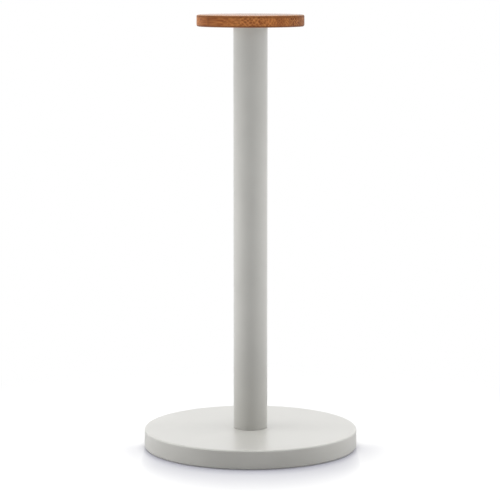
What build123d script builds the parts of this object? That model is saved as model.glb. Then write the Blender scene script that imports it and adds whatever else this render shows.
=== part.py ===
"""Free-standing paper towel holder: a weighted round base, a tubular post and a bamboo cap that pulls off.

The origin is the centre of the surface that the holder stands on, and +Z is up. Sizes are in millimetres.
"""

from build123d import *
import os

# Base shell: a drawn steel cup with its open side down
base_diameter = 160.0
base_side_height = 13.4
shell_wall = 1.0
shell_top_radius = 1.3
shell_rim_radius = 0.4
rim_gap = 0.8

# Foot pad: a soft ring that the holder stands on
pad_inset = 5.0
pad_thickness = 2.0
pad_edge_radius = 0.5

# Bottom cover: a moulded disc that closes the shell
cover_thickness = 2.0
cover_gap = 0.3
cover_edge_chamfer = 0.4

# Cover screws: countersunk, from below into the ballast
cover_screw_count = 3
cover_screw_inset = 25.0
cover_screw_diameter = 3.0
cover_screw_length = 6.0
cover_screw_head = 5.5
cover_screw_head_sink = 0.2
cover_screw_tip_length = 0.5
cover_screw_tip_width = 2.0

# Ballast: an iron disc under the shell's top
ballast_side_gap = 4.0
ballast_edge_chamfer = 1.0

# Post bolt, with its wide washer and its spring washer
bolt_diameter = 6.0
bolt_length = 20.0
bolt_head_diameter = 10.5
bolt_head_height = 3.3
bolt_head_radius = 2.2
bolt_floor_gap = 0.9
bolt_tip_chamfer = 0.8
bolt_socket_width = 4.0
bolt_socket_depth = 2.0
bolt_hole_gap = 0.05
washer_diameter = 18.0
washer_thickness = 1.6
washer_hole_gap = 0.2
spring_washer_diameter = 11.8
spring_washer_thickness = 1.6
spring_washer_slit = 0.6
spring_washer_slit_angle = 25.0
counterbore_gap = 2.0
pad_hole_gap = 1.0

# Post: a steel tube that stands on the shell
post_diameter = 25.4
post_wall = 1.0
post_length = 301.4
post_edge_radius = 0.3

# Foot plug: a tapped plug fixed in the lower end of the post, with a spigot that centres it on the base
foot_plug_length = 15.0
foot_plug_gap = 0.02
foot_plug_chamfer = 0.8
spigot_diameter = 12.0
spigot_gap = 0.1
spigot_end_gap = 1.0

# Cap: a bamboo disc that keeps the roll on the post
cap_diameter = 79.6
cap_thickness = 8.7
cap_edge_radius = 1.4

# Cap plug: a moulded cup under the cap that pushes into the post
plug_length = 18.0
plug_gap = 0.3
plug_head_thickness = 3.0
plug_wall_behind_groove = 1.5
plug_lead_in = 1.0
plug_boss_inset = 2.4
plug_boss_height = 1.0
plug_boss_gap = 0.1

# Seal rings: two soft rings in grooves of the plug
seal_section = 2.0
seal_post_gap = 0.1
seal_groove_gap = 0.1
seal_groove_side_gap = 0.2

# Cap screws: countersunk wood screws from inside the plug up into the cap
cap_screw_count = 3
cap_screw_diameter = 2.5
cap_screw_length = 8.0
cap_screw_head = 4.5
cap_screw_tip_length = 2.0
cap_screw_tip_width = 0.4
cap_screw_wall_gap = 0.25

# Both kinds of screw have a 90 degree head with a cross recess, in a hole with this clearance
screw_hole_gap = 0.05
recess_width = 0.8
recess_span = 0.6
recess_depth = 1.0

# The largest share of a wall or a head that an edge radius takes
most_of_a_wall = 0.4
most_of_a_head = 0.8

# Heights, from the surface that the holder stands on up to the top of the cap
cover_bottom = pad_thickness
cover_top = cover_bottom + cover_thickness
cover_screw_face = cover_bottom + cover_screw_head_sink
cover_screw_end = cover_screw_face + cover_screw_length
base_top = rim_gap + base_side_height
shell_ceiling = base_top - shell_wall
bolt_seat = bolt_floor_gap + bolt_head_height
washer_bottom = bolt_seat + spring_washer_thickness
web_bottom = washer_bottom + washer_thickness
spigot_bottom = web_bottom + spigot_end_gap
post_top = base_top + post_length
plug_floor = post_top - plug_head_thickness
plug_bottom = post_top - plug_length
cap_screw_end = plug_floor + cap_screw_length
cap_top = post_top + cap_thickness

# The seal rings share the plug's length evenly
upper_seal = post_top - plug_length / 3
lower_seal = post_top - 2 * plug_length / 3

# Diameters that follow from the sizes above
shell_bore = base_diameter - 2 * shell_wall
ballast_diameter = shell_bore - 2 * ballast_side_gap
cover_screw_circle = ballast_diameter - 2 * cover_screw_inset
counterbore = washer_diameter + 2 * counterbore_gap
spigot_hole = spigot_diameter + 2 * spigot_gap
bolt_hole = bolt_diameter + 2 * bolt_hole_gap
post_bore = post_diameter - 2 * post_wall
plug_diameter = post_bore - 2 * plug_gap
plug_boss_diameter = plug_diameter - 2 * plug_boss_inset
seal_outer = post_bore - 2 * seal_post_gap
seal_centre_line = seal_outer - seal_section
groove_floor = seal_centre_line - seal_section - 2 * seal_groove_gap
plug_bore = groove_floor - 2 * plug_wall_behind_groove
cap_screw_circle = plug_bore - cap_screw_head - 2 * cap_screw_wall_gap

ON_TOP = (Align.CENTER, Align.CENTER, Align.MIN)


def disc(diameter, bottom, top):
    """A plain disc about the Z axis between two heights."""
    return Pos(0, 0, bottom) * Cylinder(diameter / 2, top - bottom, align=ON_TOP)


def circles(solid):
    """A solid's circular edges, from the lowest to the highest."""
    return solid.edges().filter_by(GeomType.CIRCLE).sort_by(Axis.Z)


def round_the_circle(shape, count, circle):
    """Copies of a shape that stands on the Z axis, evenly spaced on a circle."""
    return [place * shape for place in PolarLocations(circle / 2, count)]


def countersunk_screw(diameter, head, head_face, end, tip_length, tip_width):
    """A screw that points up from the flat face of its countersunk head to the end of its tip."""
    head_height = (head - diameter) / 2
    outline = Polyline(
        (0, 0, head_face),
        (head / 2, 0, head_face),
        (diameter / 2, 0, head_face + head_height),
        (diameter / 2, 0, end - tip_length),
        (tip_width / 2, 0, end),
        (0, 0, end),
        close=True,
    )
    screw = revolve(make_face(outline), Axis.Z)
    for turn in (0, 90):
        bar = Box(recess_span * head, recess_width, recess_depth, align=ON_TOP)
        screw -= Pos(0, 0, head_face) * Rot(0, 0, turn) * bar
    return screw


def countersunk_hole(diameter, head, head_face, end):
    """The hole that such a screw fits, from its head's face up to the hole's end."""
    wide = head / 2 + screw_hole_gap
    narrow = diameter / 2 + screw_hole_gap
    outline = Polyline(
        (0, 0, head_face),
        (wide, 0, head_face),
        (narrow, 0, head_face + wide - narrow),
        (narrow, 0, end),
        (0, 0, end),
        close=True,
    )
    return revolve(make_face(outline), Axis.Z)


def cover_screw_holes():
    end = cover_screw_end + screw_hole_gap
    hole = countersunk_hole(cover_screw_diameter, cover_screw_head, cover_screw_face, end)
    mouth = disc(cover_screw_head + 2 * screw_hole_gap, cover_bottom, cover_screw_face)
    return round_the_circle(hole + mouth, cover_screw_count, cover_screw_circle)


def cap_screw_holes():
    end = cap_screw_end + screw_hole_gap
    hole = countersunk_hole(cap_screw_diameter, cap_screw_head, plug_floor, end)
    return round_the_circle(hole, cap_screw_count, cap_screw_circle)


# Base
def base_shell():
    outside = disc(base_diameter, rim_gap, base_top)
    outside = fillet(circles(outside)[-1], shell_top_radius)
    rim_radius = min(shell_rim_radius, most_of_a_wall * shell_wall)
    outside = fillet(circles(outside)[0], rim_radius)
    inside = disc(shell_bore, rim_gap, shell_ceiling)
    inner_radius = shell_top_radius - shell_wall
    if inner_radius > 0:
        inside = fillet(circles(inside)[-1], inner_radius)
    return outside - inside - disc(spigot_hole, shell_ceiling, base_top)


def base_ballast():
    body = disc(ballast_diameter, cover_top, shell_ceiling)
    body = chamfer(circles(body), ballast_edge_chamfer)
    body -= disc(counterbore, cover_top, web_bottom)
    body -= disc(spigot_hole, web_bottom, shell_ceiling)
    return body - cover_screw_holes()


def bottom_cover():
    body = disc(shell_bore - 2 * cover_gap, cover_bottom, cover_top)
    body = chamfer(circles(body)[0], cover_edge_chamfer)
    return body - disc(counterbore, cover_bottom, cover_top) - cover_screw_holes()


def cover_screws():
    screw = countersunk_screw(
        cover_screw_diameter,
        cover_screw_head,
        cover_screw_face,
        cover_screw_end,
        cover_screw_tip_length,
        cover_screw_tip_width,
    )
    return Compound(round_the_circle(screw, cover_screw_count, cover_screw_circle))


def foot_pad():
    body = disc(base_diameter - 2 * pad_inset, 0, pad_thickness)
    body = fillet(circles(body)[0], min(pad_edge_radius, most_of_a_wall * pad_thickness))
    return body - disc(counterbore + 2 * pad_hole_gap, 0, pad_thickness)


def post_bolt():
    head = disc(bolt_head_diameter, bolt_floor_gap, bolt_seat)
    head = fillet(circles(head)[0], min(bolt_head_radius, most_of_a_head * bolt_head_height))
    shank = disc(bolt_diameter, bolt_seat, bolt_seat + bolt_length)
    shank = chamfer(circles(shank)[-1], bolt_tip_chamfer)
    socket = extrude(RegularPolygon(bolt_socket_width / 2, 6, major_radius=False), bolt_socket_depth)
    return head + shank - Pos(0, 0, bolt_floor_gap) * socket


def flat_washer():
    hole = bolt_diameter + 2 * washer_hole_gap
    return disc(washer_diameter, washer_bottom, web_bottom) - disc(hole, washer_bottom, web_bottom)


def spring_washer():
    ring = disc(spring_washer_diameter, bolt_seat, washer_bottom)
    ring -= disc(bolt_diameter + 2 * washer_hole_gap, bolt_seat, washer_bottom)
    reach = spring_washer_diameter
    slit = Box(reach, spring_washer_slit, reach)
    middle = (bolt_seat + washer_bottom) / 2
    return ring - Pos(reach / 2, 0, middle) * Rot(spring_washer_slit_angle, 0, 0) * slit


# Post
def post_tube():
    tube = disc(post_diameter, base_top, post_top) - disc(post_bore, base_top, post_top)
    return fillet(circles(tube), min(post_edge_radius, most_of_a_wall * post_wall))


def foot_plug():
    body = disc(post_bore - 2 * foot_plug_gap, base_top, base_top + foot_plug_length)
    body = chamfer(circles(body)[-1], foot_plug_chamfer)
    body += disc(spigot_diameter, spigot_bottom, base_top)
    return body - disc(bolt_hole, spigot_bottom, base_top + foot_plug_length)


# Cap
def cap_disc():
    body = disc(cap_diameter, post_top, cap_top)
    body = fillet(circles(body), cap_edge_radius)
    seat = plug_boss_diameter + 2 * plug_boss_gap
    body -= disc(seat, post_top, post_top + plug_boss_height + plug_boss_gap)
    return body - cap_screw_holes()


def cap_plug():
    body = disc(plug_diameter, plug_bottom, post_top)
    body = chamfer(circles(body)[0], plug_lead_in)
    body += disc(plug_boss_diameter, post_top, post_top + plug_boss_height)
    body -= disc(plug_bore, plug_bottom, plug_floor)
    half_groove = seal_section / 2 + seal_groove_side_gap
    for middle in (upper_seal, lower_seal):
        ring = disc(plug_diameter, middle - half_groove, middle + half_groove)
        body -= ring - disc(groove_floor, middle - half_groove, middle + half_groove)
    return body - cap_screw_holes()


def cap_screws():
    screw = countersunk_screw(
        cap_screw_diameter,
        cap_screw_head,
        plug_floor,
        cap_screw_end,
        cap_screw_tip_length,
        cap_screw_tip_width,
    )
    return Compound(round_the_circle(screw, cap_screw_count, cap_screw_circle))


def seal_ring(middle):
    return Pos(0, 0, middle) * Torus(seal_centre_line / 2, seal_section / 2)


pieces = {
    "base_shell": base_shell(),
    "base_ballast": base_ballast(),
    "bottom_cover": bottom_cover(),
    "cover_screws": cover_screws(),
    "foot_pad": foot_pad(),
    "post_bolt": post_bolt(),
    "flat_washer": flat_washer(),
    "spring_washer": spring_washer(),
    "post_tube": post_tube(),
    "foot_plug": foot_plug(),
    "cap_disc": cap_disc(),
    "cap_plug": cap_plug(),
    "cap_screws": cap_screws(),
    "upper_seal_ring": seal_ring(upper_seal),
    "lower_seal_ring": seal_ring(lower_seal),
}

os.makedirs("parts", exist_ok=True)
for name, piece in pieces.items():
    export_step(piece, f"parts/{name}.step")
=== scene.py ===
"""Looks of a free-standing paper towel holder: painted base and post, bamboo cap, and the pieces inside."""

import math

import bmesh
import bpy
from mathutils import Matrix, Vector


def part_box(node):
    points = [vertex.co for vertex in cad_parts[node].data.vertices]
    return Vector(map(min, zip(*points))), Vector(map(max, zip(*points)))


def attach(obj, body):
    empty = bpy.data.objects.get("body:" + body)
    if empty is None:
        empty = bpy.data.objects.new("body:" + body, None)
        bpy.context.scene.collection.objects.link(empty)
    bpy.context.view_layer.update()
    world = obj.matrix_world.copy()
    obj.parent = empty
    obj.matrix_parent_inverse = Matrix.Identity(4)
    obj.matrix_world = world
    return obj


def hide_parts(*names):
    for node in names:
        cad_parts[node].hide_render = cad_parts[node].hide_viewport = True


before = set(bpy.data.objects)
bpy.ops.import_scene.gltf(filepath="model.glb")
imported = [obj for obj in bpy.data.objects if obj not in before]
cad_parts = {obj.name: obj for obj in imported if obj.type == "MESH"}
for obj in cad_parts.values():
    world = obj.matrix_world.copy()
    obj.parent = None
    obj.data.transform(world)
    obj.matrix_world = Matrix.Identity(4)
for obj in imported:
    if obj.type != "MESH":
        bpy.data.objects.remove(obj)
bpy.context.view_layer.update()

MM = 0.001

# Places and sizes of the pieces, read from the frame
base_low, base_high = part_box("base_shell")
pad_low, pad_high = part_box("foot_pad")
post_low, post_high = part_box("post_tube")
cap_low, cap_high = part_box("cap_disc")
plug_low, plug_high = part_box("cap_plug")

# Sizes that the frame's boxes don't give; the grooves' places are shares of the plug's length
shell_wall = 1.0 * MM
shell_top_radius = 1.3 * MM
shell_rim_radius = 0.4 * MM
spigot_radius = 6.1 * MM
pad_hole_radius = 12.0 * MM
pad_edge_radius = 0.5 * MM
post_wall = 1.0 * MM
post_edge_radius = 0.3 * MM
cap_edge_radius = 1.4 * MM
boss_radius = 9.0 * MM
boss_height = 1.0 * MM
boss_gap = 0.1 * MM
plug_bore_radius = 8.0 * MM
plug_head_thickness = 3.0 * MM
plug_lead_in = 1.0 * MM
groove_floor_radius = 9.5 * MM
groove_half_height = 1.2 * MM
groove_shares = (1 / 3, 2 / 3)
seal_section = 2.0 * MM
seal_flash = 0.03 * MM
screw_circle_radius = 5.5 * MM
screw_head_radius = 2.3 * MM
screw_hole_radius = 1.3 * MM
screw_count = 3

# How finely round pieces are divided
LARGE_ROUND = 256
MIDDLE_ROUND = 192
SMALL_ROUND = 128
SCREW_ROUND = 48
SEAL_SECTION_ROUND = 32

# How near counts as being at a place, which faces count as level and as upright by the height of their
# normal, how wide a margin of a flat face stays beside its rounded edge, in radii of the edge, how far a
# cutter reaches past what it cuts, and up to which angle a surface is shaded as smooth
CLOSE = 0.02 * MM
LEVEL = 0.99
UPRIGHT = 0.1
EDGE_MARGIN = 3
OVERSHOOT = 1.0 * MM
SMOOTH_ANGLE = math.radians(35)

# Soft boxes, one at each side: power in watts, size, distance from the post and height above the floor
LEFT_BOX = 0.58
RIGHT_BOX = 0.42
BOX_SIZE = 160 * MM
BOX_DISTANCE = 350 * MM
BOX_HEIGHT = 140 * MM

# Light from all round: a strong part right above, which begins at a reach, an even part, and a part from
# below the level, which sets in over an edge. Reach and edge are heights where 1 is straight up or down.
TOP_LIGHT = 4.1
TOP_LIGHT_REACH = 0.8
ROOM_LIGHT = 0.27
LOW_LIGHT = 1.4
LOW_LIGHT_EDGE = 0.05

# Floor: its size, how much light it throws back, how pale it looks, how much it glows to fill its darkest
# shadows, and between which distances from the post it turns to plain white
FLOOR_SIZE = 1.6
FLOOR_BOUNCE = (0.53, 0.53, 0.53, 1)
FLOOR_LOOK = (0.735, 0.735, 0.735, 1)
FLOOR_GLOW = 0.23
FLOOR_FADE = (170 * MM, 320 * MM)

# Painted soft shadow in front of the base: its colour, then a broad and a short part, each with its reach
# and its depth at the rim. It sets in between two distances from the rim, fades out between two distances
# past the base's sides, and grows between two places on the way to the viewer.
SHADOW_COLOUR = (0, 0, 0.08, 1)
SHADOW_PARTS = ((70 * MM, 0.40), (16 * MM, 0.14))
SHADOW_START = (-2.0 * MM, 0.0)
SHADOW_SIDE_FADE = (-14 * MM, 36 * MM)
SHADOW_FRONT_FADE = (18 * MM, -23 * MM)

# Camera: its place, its tilt below the level in degrees, and its lens
CAMERA_PLACE = (-0.35 * MM, -1547.2 * MM, 355.3 * MM)
CAMERA_TILT = 7.587
CAMERA_LENS = 150.24
CAMERA_SENSOR = 36.0

# Bamboo: the grain's turn from the X axis, how often its broad bands and its fine streaks change in a metre
# along and across the grain, the width of a glued strip, how far its edges waver, and how far the pattern is
# shifted upwards from one strip to the next
GRAIN_TURN = math.radians(45)
BROAD_GRAIN = (9, 160)
FINE_GRAIN = (22, 900)
STRIP_WIDTH = 11 * MM
STRIP_WAVER = 0.4 * MM
STRIP_SHIFT = 37 * MM

# Fibre bundles: their spacing across the grain, and upwards where they show faintly and where they show
# strongly, how often they end in a metre along the grain, how much they are scattered by chance, how far
# they drift up and down, and how often this drift changes in a metre along and across the grain
BUNDLE_SPACING = 2.4 * MM
BUNDLE_ROWS = (2.9 * MM, 2.2 * MM)
BUNDLE_ENDS = 3
BUNDLE_SCATTER = 0.45
BUNDLE_DRIFT = 0.9 * MM
DRIFT_GRAIN = (30, 150)

# For each strip, from one side of the cap to the other: how bright it is, how strongly its bundles show, and
# where its growth ring lies between two ends that are this far from the middle
RING_RANGE = 60 * MM
STRIPS = (
    (0.89, 0.35, 0.47),
    (1.00, 0.58, 0.95),
    (0.96, 0.30, 0.22),
    (0.79, 0.35, 0.60),
    (0.74, 1.00, 0.05),
    (0.61, 0.45, 0.40),
    (0.72, 0.70, 0.80),
    (0.80, 0.35, 0.12),
)


# Modelling by hand
def deselect():
    bpy.ops.object.select_all(action="DESELECT")


def take_up(name):
    """Names the primitive just added, puts its place into its mesh and opens it in edit mode."""
    piece = bpy.context.object
    piece.name = name
    piece.data.name = name
    bpy.ops.object.transform_apply(location=True, rotation=True, scale=True)
    bpy.ops.object.mode_set(mode="EDIT")
    return piece


def start_cylinder(name, radius, low, high, sides):
    """A closed cylinder on the Z axis."""
    deselect()
    bpy.ops.mesh.primitive_cylinder_add(
        vertices=sides, radius=radius, depth=high - low, location=(0, 0, (low + high) / 2)
    )
    return take_up(name)


def is_level(face):
    return abs(face.normal.z) > LEVEL


def pick(piece, kind, wanted):
    """Selects, in edit mode, only the edges or faces that are wanted."""
    bpy.ops.mesh.select_all(action="DESELECT")
    bpy.ops.mesh.select_mode(type="EDGE" if kind == "edges" else "FACE")
    mesh = bmesh.from_edit_mesh(piece.data)
    for element in getattr(mesh, kind):
        element.select_set(wanted(element))
    mesh.select_flush_mode()
    bmesh.update_edit_mesh(piece.data)


def pick_flat(piece, height):
    """Selects the level faces at a height."""
    def wanted(face):
        return is_level(face) and abs(face.calc_center_median().z - height) < CLOSE

    pick(piece, "faces", wanted)


def pick_rings(piece, *rings):
    """Selects the edges that lie on circles round the Z axis, each given by its radius and height."""
    def on_ring(corner, radius, height):
        return abs(corner.co.xy.length - radius) < CLOSE and abs(corner.co.z - height) < CLOSE

    def wanted(edge):
        return any(all(on_ring(v, *ring) for v in edge.verts) for ring in rings)

    pick(piece, "edges", wanted)


def pick_band(piece, low, high):
    """Selects the upright faces of the outside wall between two heights."""
    def wanted(face):
        middle = face.calc_center_median()
        outward = face.normal.xy.dot(middle.xy) > 0
        return abs(face.normal.z) < UPRIGHT and low < middle.z < high and outward

    pick(piece, "faces", wanted)


def inset(thickness):
    bpy.ops.mesh.inset(thickness=thickness, depth=0)


def raise_faces(height):
    bpy.ops.mesh.extrude_region_move(TRANSFORM_OT_translate={"value": (0, 0, height)})


def sink_band(depth):
    bpy.ops.mesh.extrude_region_shrink_fatten(TRANSFORM_OT_shrink_fatten={"value": -depth})


def cut_level(height):
    """Cuts a ring of edges round the whole piece at a height."""
    bpy.ops.mesh.select_all(action="SELECT")
    bpy.ops.mesh.bisect(plane_co=(0, 0, height), plane_no=(0, 0, 1))


def round_edges(radius, steps):
    bpy.ops.mesh.bevel(offset=radius, segments=steps, profile=0.5, affect="EDGES")


def finish_piece(piece, material, body, node):
    """Smooths a piece, gives it its material and lets it stand for a CAD node on its body."""
    bpy.ops.object.mode_set(mode="OBJECT")
    bpy.ops.object.shade_smooth_by_angle(angle=SMOOTH_ANGLE)
    piece.data.materials.clear()
    piece.data.materials.append(material)
    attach(piece, body)
    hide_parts(node)


# Making materials
def tone(red, green, blue):
    """An sRGB colour, from 0 to 255 as on a screen, turned into a linear one."""
    def linear(value):
        share = value / 255
        return share / 12.92 if share <= 0.04045 else ((share + 0.055) / 1.055) ** 2.4

    return (linear(red), linear(green), linear(blue), 1.0)


def new_material(name):
    material = bpy.data.materials.new(name)
    material.use_nodes = True
    return material, material.node_tree, material.node_tree.nodes["Principled BSDF"]


def fill(tree, target, value):
    """Links a socket to an input, or sets the input to a value."""
    if isinstance(value, bpy.types.NodeSocket):
        tree.links.new(value, target)
    else:
        target.default_value = value


def fill_inputs(tree, node, **inputs):
    """Fills inputs of a node by their names, with underscores for spaces."""
    for name, value in inputs.items():
        fill(tree, node.inputs[name.replace("_", " ")], value)


def add(tree, kind, **inputs):
    """Adds a node and fills its inputs."""
    made = tree.nodes.new(kind)
    fill_inputs(tree, made, **inputs)
    return made


def calculate(tree, operation, first, second=0.0):
    made = tree.nodes.new("ShaderNodeMath")
    made.operation = operation
    fill(tree, made.inputs[0], first)
    fill(tree, made.inputs[1], second)
    return made.outputs[0]


def plus(tree, first, second):
    return calculate(tree, "ADD", first, second)


def minus(tree, first, second):
    return calculate(tree, "SUBTRACT", first, second)


def times(tree, value, factor):
    return calculate(tree, "MULTIPLY", value, factor)


def over(tree, value, divisor):
    return calculate(tree, "DIVIDE", value, divisor)


def larger(tree, first, second):
    return calculate(tree, "MAXIMUM", first, second)


def spread(tree, value, span, new_span, smooth=True):
    """A value that lies within a span, brought to the same place within another span."""
    made = add(
        tree, "ShaderNodeMapRange",
        Value=value, From_Min=span[0], From_Max=span[1], To_Min=new_span[0], To_Max=new_span[1],
    )
    made.interpolation_type = "SMOOTHSTEP" if smooth else "LINEAR"
    return made.outputs[0]


def object_place(tree):
    return tree.nodes.new("ShaderNodeTexCoord").outputs["Object"]


def split(tree, vector):
    return add(tree, "ShaderNodeSeparateXYZ", Vector=vector).outputs


def join(tree, x, y, z):
    return add(tree, "ShaderNodeCombineXYZ", X=x, Y=y, Z=z).outputs[0]


def from_axis(tree, x, y):
    """Distance from the Z axis."""
    return calculate(tree, "SQRT", plus(tree, times(tree, x, x), times(tree, y, y)))


def noise(tree, place, scale, detail, roughness=0.5):
    made = add(tree, "ShaderNodeTexNoise", Vector=place, Scale=scale, Detail=detail, Roughness=roughness)
    return made.outputs["Fac"]


def cells(tree, place, scale, randomness=1.0):
    """Many scattered cells: the distance from the middle of the nearest, and a colour by chance for each."""
    return add(tree, "ShaderNodeTexVoronoi", Vector=place, Scale=scale, Randomness=randomness).outputs


def blend_colours(tree, share, first, second, way="MIX"):
    """Two colours blended by a share. The node takes colours at inputs 6 and 7 and gives one at output 2."""
    made = tree.nodes.new("ShaderNodeMix")
    made.data_type = "RGBA"
    made.blend_type = way
    fill(tree, made.inputs[0], share)
    fill(tree, made.inputs[6], first)
    fill(tree, made.inputs[7], second)
    return made.outputs[2]


def mottle(tree, pattern, first, second):
    """Two colours that give way to each other over a noise."""
    return blend_colours(tree, spread(tree, pattern, (0.3, 0.7), (0, 1)), first, second)


def bump(tree, height, strength, depth, under=None):
    made = add(tree, "ShaderNodeBump", Height=height, Strength=strength, Distance=depth)
    if under is not None:
        fill_inputs(tree, made, Normal=under)
    return made.outputs["Normal"]


def put_together(tree, kind, first, second, **inputs):
    """Adds or mixes two shaders, which are the node's last two inputs."""
    made = add(tree, kind, **inputs)
    tree.links.new(first.outputs[0], made.inputs[-2])
    tree.links.new(second.outputs[0], made.inputs[-1])
    return made


# Finishes
def powder_coat():
    """Warm light grey satin paint, baked on as powder: faint clouding and a fine orange peel."""
    material, tree, shader = new_material("powder_coat")
    place = object_place(tree)
    clouds = noise(tree, place, scale=22, detail=3)
    specks = noise(tree, place, scale=2400, detail=1)
    peel = noise(tree, place, scale=620, detail=2)
    cloud_share = spread(tree, clouds, (0.35, 0.65), (0, 1))
    speck_share = spread(tree, specks, (0.60, 0.72), (0, 0.10))
    clouded = blend_colours(tree, cloud_share, tone(191, 190, 185), tone(196, 195, 190))
    grainy = bump(tree, specks, strength=0.10, depth=0.02 * MM)
    fill_inputs(
        tree, shader,
        Base_Color=blend_colours(tree, speck_share, clouded, tone(166, 165, 160)),
        Roughness=spread(tree, clouds, (0.3, 0.7), (0.42, 0.47)),
        Normal=bump(tree, peel, strength=0.16, depth=0.05 * MM, under=grainy),
        IOR=1.5,
        Coat_Weight=0.9,
        Coat_Roughness=0.28,
    )
    return material


def along_grain(tree, along, across, up, changes):
    """A place for a noise that changes seldom along the grain and often across it."""
    seldom, often = changes
    return join(tree, times(tree, along, seldom), times(tree, across, often), times(tree, up, often))


def strip_values(tree, strip):
    """Each strip's own brightness, strength of its bundles and place of its growth ring."""
    ramp = add(tree, "ShaderNodeValToRGB", Fac=over(tree, strip, len(STRIPS)))
    ramp.color_ramp.interpolation = "CONSTANT"
    stops = ramp.color_ramp.elements
    stops.remove(stops[1])
    for number, values in enumerate(STRIPS):
        stop = stops.new(number / len(STRIPS)) if number else stops[0]
        stop.color = (*values, 1)
    return add(tree, "ShaderNodeSeparateColor", Color=ramp.outputs[0]).outputs


def fibre_bundles(tree, along, across, up, strength):
    """Where the dark fibre bundles lie, and the paler wood between them, at the strength of their strip."""
    seldom, often = DRIFT_GRAIN
    drift_place = join(tree, times(tree, along, seldom), times(tree, across, often), 0)
    wander = noise(tree, drift_place, scale=1, detail=1)
    drift = spread(tree, wander, (0.25, 0.75), (-BUNDLE_DRIFT, BUNDLE_DRIFT), smooth=False)
    row = over(tree, plus(tree, up, drift), spread(tree, strength, (0.85, 1), BUNDLE_ROWS))
    side = over(tree, across, BUNDLE_SPACING)
    lattice = join(tree, plus(tree, side, row), minus(tree, side, row), times(tree, along, BUNDLE_ENDS))
    bundle = cells(tree, lattice, scale=1, randomness=BUNDLE_SCATTER)
    chance = split(tree, bundle["Color"])[0]
    dots = spread(tree, bundle["Distance"], (0.24, 0.50), (1, 0))
    dots = times(tree, dots, spread(tree, chance, (0, 0.6), (0.35, 1)))
    between = spread(tree, bundle["Distance"], (0.42, 0.62), (0, 1))
    return times(tree, dots, strength), times(tree, between, strength)


def growth_ring(tree, along, ring_place):
    """A fine dark line across a strip, with a broad soft band."""
    middle = spread(tree, ring_place, (0, 1), (-RING_RANGE, RING_RANGE), smooth=False)
    away = calculate(tree, "ABSOLUTE", minus(tree, along, middle))
    line = spread(tree, away, (0.5 * MM, 2.2 * MM), (0.2, 0))
    band = spread(tree, away, (0, 18 * MM), (0.44, 0))
    return plus(tree, line, band)


def bamboo():
    """Oiled brown bamboo: glued strips with dark fibre bundles, which end as dots on the rim."""
    material, tree, shader = new_material("bamboo")
    place = object_place(tree)
    turned = add(tree, "ShaderNodeMapping", Vector=place, Rotation=(0, 0, GRAIN_TURN)).outputs[0]
    along, across, up = split(tree, turned)
    wander = noise(tree, place, scale=45, detail=2)
    waver = spread(tree, wander, (0.2, 0.8), (-STRIP_WAVER, STRIP_WAVER), smooth=False)
    across = plus(tree, across, waver)
    strip = plus(tree, over(tree, across, STRIP_WIDTH), len(STRIPS) / 2)
    brightness, bundle_strength, ring_place = strip_values(tree, strip)

    # Fibres, each strip with a pattern of its own
    up = plus(tree, up, times(tree, calculate(tree, "FLOOR", strip), STRIP_SHIFT))
    bands = noise(tree, along_grain(tree, along, across, up, BROAD_GRAIN), scale=1, detail=2)
    streaks = noise(tree, along_grain(tree, along, across, up, FINE_GRAIN), scale=1, detail=3, roughness=0.6)
    streaked = spread(tree, streaks, (0.38, 0.68), (0, 0.8))
    dots, between = fibre_bundles(tree, along, across, up, bundle_strength)
    colour = mottle(tree, bands, tone(190, 118, 66), tone(211, 137, 76))
    colour = blend_colours(tree, streaked, colour, tone(146, 78, 36))
    colour = blend_colours(tree, times(tree, between, 0.5), colour, tone(232, 164, 100))
    colour = blend_colours(tree, times(tree, dots, 0.9), colour, tone(104, 48, 18))
    shade = join(tree, brightness, brightness, brightness)
    colour = blend_colours(tree, 1.0, colour, shade, "MULTIPLY")

    # Growth rings across the strips, and glue lines between them
    colour = blend_colours(tree, growth_ring(tree, along, ring_place), colour, tone(112, 60, 28))
    to_seam = calculate(tree, "PINGPONG", strip, 0.5)
    colour = blend_colours(tree, spread(tree, to_seam, (0, 0.015), (0.2, 0)), colour, tone(92, 48, 22))

    # The rim painted darker just under the top edge and along the bottom edge, and a painted highlight along
    # the top edge
    x, y, z = split(tree, place)
    near_rim = spread(tree, from_axis(tree, x, y), (cap_high.x - 2.2 * MM, cap_high.x), (0, 1))
    below_top = minus(tree, cap_high.z, z)
    above_bottom = minus(tree, z, cap_low.z)
    under_top = spread(tree, below_top, (2.6 * MM, 1.0 * MM), (0, 0.6))
    near_bottom = spread(tree, above_bottom, (1.6 * MM, 0.5 * MM), (0, 1))
    # The rim is painted darker just under the top edge and along the bottom edge
    darker_rim_edges = times(tree, near_rim, larger(tree, under_top, near_bottom))
    # Painted highlight: the top edge is painted paler, where it would catch the light
    painted_top_highlight = times(tree, near_rim, spread(tree, below_top, (0.6 * MM, 0.2 * MM), (0, 0.8)))
    colour = blend_colours(tree, darker_rim_edges, colour, tone(116, 72, 42))
    colour = blend_colours(tree, painted_top_highlight, colour, tone(226, 176, 130))

    grooves = bump(tree, streaks, strength=0.25, depth=0.04 * MM)
    fill_inputs(
        tree, shader,
        Base_Color=colour,
        Roughness=spread(tree, below_top, (0.8 * MM, 0), (0.5, 0.2)),
        Normal=bump(tree, dots, strength=-0.3, depth=0.05 * MM, under=grooves),
        IOR=1.45,
        Specular_IOR_Level=0.15,
    )
    return material


def plug_plastic():
    """Moulded warm grey plastic with a fine satin grain."""
    material, tree, shader = new_material("plug_plastic")
    place = object_place(tree)
    flow = noise(tree, place, scale=90, detail=3)
    grain = noise(tree, place, scale=3200, detail=2)
    fill_inputs(
        tree, shader,
        Base_Color=mottle(tree, flow, tone(190, 188, 182), tone(199, 197, 191)),
        Roughness=spread(tree, grain, (0.3, 0.7), (0.40, 0.52)),
        Normal=bump(tree, grain, strength=0.08, depth=0.02 * MM),
    )
    return material


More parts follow.
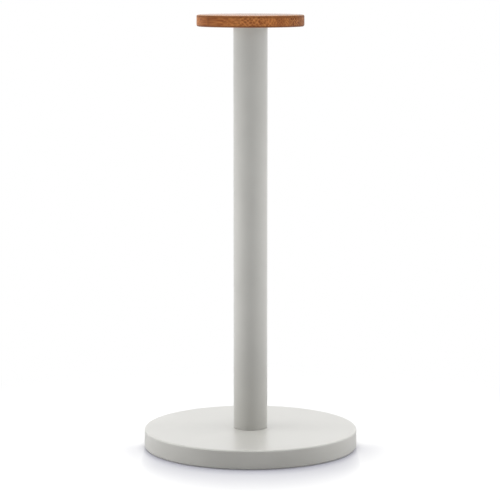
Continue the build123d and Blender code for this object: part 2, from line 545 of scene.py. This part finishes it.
def silicone():
    """Soft pale grey rubber with a slight glow inside and a little dust."""
    material, tree, shader = new_material("silicone")
    place = object_place(tree)
    clouds = noise(tree, place, scale=300, detail=2)
    dust = cells(tree, place, scale=900)["Distance"]
    dusty = spread(tree, dust, (0.08, 0.16), (0.35, 0))
    pale = mottle(tree, clouds, tone(204, 203, 199), tone(212, 211, 207))
    fill_inputs(
        tree, shader,
        Base_Color=blend_colours(tree, dusty, pale, tone(228, 226, 222)),
        Roughness=spread(tree, clouds, (0.3, 0.7), (0.42, 0.55)),
        Normal=bump(tree, clouds, strength=0.08, depth=0.03 * MM),
        Subsurface_Weight=0.25,
        Subsurface_Radius=(1.0 * MM, 0.9 * MM, 0.8 * MM),
        Subsurface_Scale=1.0,
    )
    return material


def cover_plastic():
    """Black moulded plastic with the grain of a spark-eroded mould."""
    material, tree, shader = new_material("cover_plastic")
    place = object_place(tree)
    grain = cells(tree, place, scale=1800)["Distance"]
    clouds = noise(tree, place, scale=35, detail=3)
    fill_inputs(
        tree, shader,
        Base_Color=mottle(tree, clouds, tone(44, 44, 45), tone(54, 54, 55)),
        Roughness=spread(tree, clouds, (0.3, 0.7), (0.5, 0.6)),
        Normal=bump(tree, grain, strength=0.35, depth=0.04 * MM),
    )
    return material


def foam_rubber():
    """Charcoal closed-cell foam: small open pores, painted darker inside as shade, and a dry surface."""
    material, tree, shader = new_material("foam_rubber")
    place = object_place(tree)
    pores = cells(tree, place, scale=2100)["Distance"]
    clouds = noise(tree, place, scale=60, detail=3)
    # Painted shade: the pores are painted darker inside
    shaded_pores = spread(tree, pores, (0.1, 0.35), (0.6, 0))
    charcoal = mottle(tree, clouds, tone(42, 42, 43), tone(56, 56, 57))
    fill_inputs(
        tree, shader,
        Base_Color=blend_colours(tree, shaded_pores, charcoal, tone(26, 26, 27)),
        Roughness=spread(tree, pores, (0.1, 0.5), (0.95, 0.82)),
        Normal=bump(tree, pores, strength=0.5, depth=0.08 * MM),
    )
    return material


def cast_iron():
    """Blackened iron as it left the sand: rough, pitted and a little rusty."""
    material, tree, shader = new_material("cast_iron")
    place = object_place(tree)
    sand = noise(tree, place, scale=900, detail=4, roughness=0.65)
    patches = noise(tree, place, scale=40, detail=4)
    rusty = spread(tree, patches, (0.58, 0.72), (0, 0.4))
    grey = mottle(tree, sand, tone(70, 70, 71), tone(104, 103, 102))
    fill_inputs(
        tree, shader,
        Base_Color=blend_colours(tree, rusty, grey, tone(112, 82, 62)),
        Roughness=spread(tree, patches, (0.3, 0.7), (0.55, 0.75)),
        Normal=bump(tree, sand, strength=0.6, depth=0.12 * MM),
        Metallic=0.6,
    )
    return material


def zinc_steel():
    """Bright zinc-plated steel with fine turning marks and a faint blue and straw bloom."""
    material, tree, shader = new_material("zinc_steel")
    place = object_place(tree)
    x, y, z = split(tree, place)
    bloom = noise(tree, place, scale=160, detail=3)
    turning = noise(tree, join(tree, times(tree, x, 0.15), times(tree, y, 0.15), z), scale=5200, detail=2)
    fill_inputs(
        tree, shader,
        Base_Color=mottle(tree, bloom, tone(190, 194, 200), tone(204, 200, 188)),
        Roughness=spread(tree, turning, (0.3, 0.7), (0.22, 0.36)),
        Normal=bump(tree, turning, strength=0.10, depth=0.02 * MM),
        Metallic=1.0,
    )
    return material


# Pieces
def base_shell(material):
    """The base: a drawn steel cup, open below, with a hole for the post's spigot."""
    radius = base_high.x
    piece = start_cylinder("base_shell_drawn", radius, base_low.z, base_high.z, LARGE_ROUND)
    ceiling = base_high.z - shell_wall
    bore = radius - shell_wall
    flat_edge = EDGE_MARGIN * shell_top_radius
    pick_flat(piece, base_low.z)
    inset(shell_wall)
    raise_faces(ceiling - base_low.z)
    inset(bore - spigot_radius)
    pick_flat(piece, base_high.z)
    inset(flat_edge)
    inset(radius - flat_edge - post_high.x)
    inset(post_high.x - spigot_radius)
    hole = spigot_radius + CLOSE
    pick(piece, "faces", lambda face: all(v.co.xy.length < hole for v in face.verts))
    bpy.ops.mesh.bridge_edge_loops()
    pick_rings(piece, (radius, base_high.z))
    round_edges(shell_top_radius, steps=8)
    pick_rings(piece, (radius, base_low.z))
    round_edges(shell_rim_radius, steps=4)
    pick_rings(piece, (bore, ceiling))
    round_edges(shell_top_radius - shell_wall, steps=3)
    finish_piece(piece, material, "stand", "base_shell")


def post_tube(material):
    """The post: a straight tube with softly broken ends."""
    radius = post_high.x
    piece = start_cylinder("post_tube_drawn", radius, post_low.z, post_high.z, MIDDLE_ROUND)
    bore = radius - post_wall
    pick(piece, "faces", is_level)
    inset(post_wall)
    bpy.ops.mesh.bridge_edge_loops()
    pick_rings(piece, *[(r, z) for r in (radius, bore) for z in (post_low.z, post_high.z)])
    round_edges(post_edge_radius, steps=3)
    finish_piece(piece, material, "stand", "post_tube")


def cap_disc(material):
    """The cap: a bamboo disc with eased edges and a seat for the plug's boss underneath.

    It throws no brown light on the pale post below it.
    """
    radius = cap_high.x
    piece = start_cylinder("cap_disc_turned", radius, cap_low.z, cap_high.z, LARGE_ROUND)
    pick_flat(piece, cap_low.z)
    inset(radius - boss_radius - boss_gap)
    raise_faces(boss_height + boss_gap)
    pick_flat(piece, cap_high.z)
    inset(EDGE_MARGIN * cap_edge_radius)
    pick_rings(piece, (radius, cap_low.z), (radius, cap_high.z))
    round_edges(cap_edge_radius, steps=8)
    finish_piece(piece, material, "cap", "cap_disc")
    piece.visible_diffuse = False


def foot_pad(material):
    """The foot: a flat foam ring, pressed a little round at its edges."""
    radius = pad_high.x
    piece = start_cylinder("foot_pad_foam", radius, pad_low.z, pad_high.z, LARGE_ROUND)
    pick(piece, "faces", is_level)
    inset(radius - pad_hole_radius)
    bpy.ops.mesh.bridge_edge_loops()
    pick_rings(piece, (radius, pad_low.z), (pad_hole_radius, pad_low.z))
    round_edges(pad_edge_radius, steps=5)
    finish_piece(piece, material, "stand", "foot_pad")


def screw_cutter(turn, low, high):
    """The shape of a countersunk screw hole, to cut from the plug's head."""
    deselect()
    cone_height = screw_head_radius - screw_hole_radius
    x = screw_circle_radius * math.cos(turn)
    y = screw_circle_radius * math.sin(turn)
    bpy.ops.mesh.primitive_cone_add(
        vertices=SCREW_ROUND, radius1=screw_head_radius, radius2=screw_hole_radius,
        depth=cone_height, location=(x, y, low + cone_height / 2),
    )
    cutter = take_up("screw_cutter")
    pick_flat(cutter, low + cone_height)
    raise_faces(high - low - cone_height + OVERSHOOT)
    pick_flat(cutter, low)
    raise_faces(-OVERSHOOT)
    bpy.ops.object.mode_set(mode="OBJECT")
    return cutter


def cut_screw_hole(piece, cutter):
    deselect()
    bpy.context.view_layer.objects.active = piece
    piece.select_set(True)
    cut = piece.modifiers.new("screw_hole", "BOOLEAN")
    cut.operation = "DIFFERENCE"
    cut.object = cutter
    bpy.ops.object.modifier_apply(modifier=cut.name)
    bpy.data.objects.remove(cutter)


def cap_plug(material):
    """The plug: a moulded cup with a boss on its head, two grooves round it and holes for three screws."""
    radius = plug_high.x
    head_top = plug_high.z - boss_height
    head_bottom = head_top - plug_head_thickness
    length = head_top - plug_low.z
    piece = start_cylinder("cap_plug_moulded", radius, plug_low.z, head_top, SMALL_ROUND)
    pick_flat(piece, head_top)
    inset(radius - boss_radius)
    raise_faces(boss_height)
    pick_flat(piece, plug_low.z)
    inset(radius - plug_bore_radius)
    raise_faces(head_bottom - plug_low.z)
    for share in groove_shares:
        middle = head_top - share * length
        low = middle - groove_half_height
        high = middle + groove_half_height
        cut_level(low)
        cut_level(high)
        pick_band(piece, low, high)
        sink_band(radius - groove_floor_radius)
    pick_rings(piece, (radius, plug_low.z))
    round_edges(plug_lead_in, steps=1)
    bpy.ops.object.mode_set(mode="OBJECT")
    for number in range(screw_count):
        turn = 2 * math.pi * number / screw_count
        cut_screw_hole(piece, screw_cutter(turn, head_bottom, plug_high.z))
    finish_piece(piece, material, "cap", "cap_plug")


def seal_ring(name, node, material):
    """A soft ring with the fine flash line of its mould round the outside and the inside."""
    low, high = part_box(node)
    section = seal_section / 2 - seal_flash
    centre_line = high.x - seal_section / 2
    middle = (low.z + high.z) / 2
    deselect()
    bpy.ops.mesh.primitive_torus_add(
        major_segments=SMALL_ROUND, minor_segments=SEAL_SECTION_ROUND,
        major_radius=centre_line, minor_radius=section, location=(0, 0, middle),
    )
    piece = take_up(name)
    for outward in (1, -1):
        radius = centre_line + outward * section
        pick_rings(piece, (radius, middle))
        share = (radius + outward * seal_flash) / radius
        bpy.ops.transform.resize(value=(share, share, 1), center_override=(0, 0, middle))
    finish_piece(piece, material, "seals", node)


def dress(material, *nodes):
    """Gives CAD nodes their finish."""
    for node in nodes:
        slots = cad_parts[node].data.materials
        slots.clear()
        slots.append(material)


# Stage, light and camera
def shown(tree):
    """1 where floor or background is looked at, straight on, mirrored or through something, and else 0."""
    path = tree.nodes.new("ShaderNodeLightPath").outputs
    mirrored = larger(tree, path["Is Glossy Ray"], path["Is Transmission Ray"])
    return larger(tree, path["Is Camera Ray"], mirrored)


def floor_shadow(tree, x, y, from_post):
    """How deep the painted soft shadow is, as if the base threw it towards the viewer."""
    radius = base_high.x
    rim_squared = minus(tree, radius ** 2, times(tree, x, x))
    rim = calculate(tree, "SQRT", larger(tree, rim_squared, 0))
    in_front = times(tree, plus(tree, y, rim), -1)
    depth = 0.0
    for reach, strength in SHADOW_PARTS:
        depth = plus(tree, depth, spread(tree, in_front, (0, reach), (strength, 0), smooth=False))
    past_rim = spread(tree, minus(tree, from_post, radius), SHADOW_START, (0, 1))
    past_side = minus(tree, calculate(tree, "ABSOLUTE", x), radius)
    beside = spread(tree, past_side, SHADOW_SIDE_FADE, (1, 0))
    before = spread(tree, y, SHADOW_FRONT_FADE, (0, 1))
    return times(tree, times(tree, depth, past_rim), times(tree, beside, before))


def floor():
    """A plain pale floor with a painted soft shadow in front of the base; away from the holder it is plain
    white.
    """
    deselect()
    bpy.ops.mesh.primitive_plane_add(size=FLOOR_SIZE, location=(0, 0, 0))
    piece = bpy.context.object
    piece.name = "floor"
    material, tree, shader = new_material("pale_floor")
    tree.nodes.remove(shader)
    x, y, _ = split(tree, object_place(tree))
    from_post = from_axis(tree, x, y)
    # The floor's colour, with the painted shadow blended into it
    look = blend_colours(tree, floor_shadow(tree, x, y, from_post), FLOOR_LOOK, SHADOW_COLOUR)
    straight_on = tree.nodes.new("ShaderNodeLightPath").outputs["Is Camera Ray"]
    plain = add(tree, "ShaderNodeBsdfDiffuse", Color=blend_colours(tree, straight_on, FLOOR_BOUNCE, look))
    glow = add(tree, "ShaderNodeEmission", Color=look, Strength=times(tree, straight_on, FLOOR_GLOW))
    near = put_together(tree, "ShaderNodeAddShader", plain, glow)
    far = add(tree, "ShaderNodeEmission", Strength=1.0)
    far_share = times(tree, shown(tree), spread(tree, from_post, FLOOR_FADE, (0, 1)))
    surface = put_together(tree, "ShaderNodeMixShader", near, far, Fac=far_share)
    tree.links.new(surface.outputs[0], tree.nodes["Material Output"].inputs["Surface"])
    piece.data.materials.append(material)


def studio_light():
    """A white background, and soft light from above and all round."""
    world = bpy.data.worlds.new("studio")
    bpy.context.scene.world = world
    world.use_nodes = True
    tree = world.node_tree
    height = split(tree, tree.nodes.new("ShaderNodeTexCoord").outputs["Generated"])[2]
    around = spread(tree, height, (0, -LOW_LIGHT_EDGE), (ROOM_LIGHT, LOW_LIGHT))
    above = spread(tree, height, (TOP_LIGHT_REACH, 1), (0, TOP_LIGHT))
    seen = shown(tree)
    unseen_light = times(tree, plus(tree, around, above), minus(tree, 1.0, seen))
    fill_inputs(tree, tree.nodes["Background"], Color=(1, 1, 1, 1), Strength=plus(tree, unseen_light, seen))


def soft_box(side, power):
    """A square soft box beside the holder, facing it; it lights the holder and isn't seen itself."""
    deselect()
    bpy.ops.object.light_add(
        type="AREA", location=(side * BOX_DISTANCE, 0, BOX_HEIGHT), rotation=(0, side * math.pi / 2, 0)
    )
    box = bpy.context.object
    box.data.energy = power
    box.data.size = BOX_SIZE
    box.visible_camera = False
    box.visible_glossy = False
    box.visible_transmission = False


def camera():
    """A long lens, a little above the cap, looking slightly down."""
    data = bpy.data.cameras.new("camera")
    data.lens = CAMERA_LENS
    data.sensor_width = CAMERA_SENSOR
    eye = bpy.data.objects.new("camera", data)
    bpy.context.scene.collection.objects.link(eye)
    eye.location = CAMERA_PLACE
    eye.rotation_euler = (math.radians(90 - CAMERA_TILT), 0, 0)
    bpy.context.scene.camera = eye


paint = powder_coat()
base_shell(paint)
post_tube(paint)
cap_disc(bamboo())
foot_pad(foam_rubber())
cap_plug(plug_plastic())
rubber = silicone()
seal_ring("upper_seal_moulded", "upper_seal_ring", rubber)
seal_ring("lower_seal_moulded", "lower_seal_ring", rubber)
dress(cover_plastic(), "bottom_cover")
dress(cast_iron(), "base_ballast")
dress(zinc_steel(), "cover_screws", "post_bolt", "flat_washer", "spring_washer", "foot_plug", "cap_screws")
floor()
studio_light()
soft_box(-1, LEFT_BOX)
soft_box(1, RIGHT_BOX)
camera()
bpy.context.scene.view_settings.view_transform = "Standard"
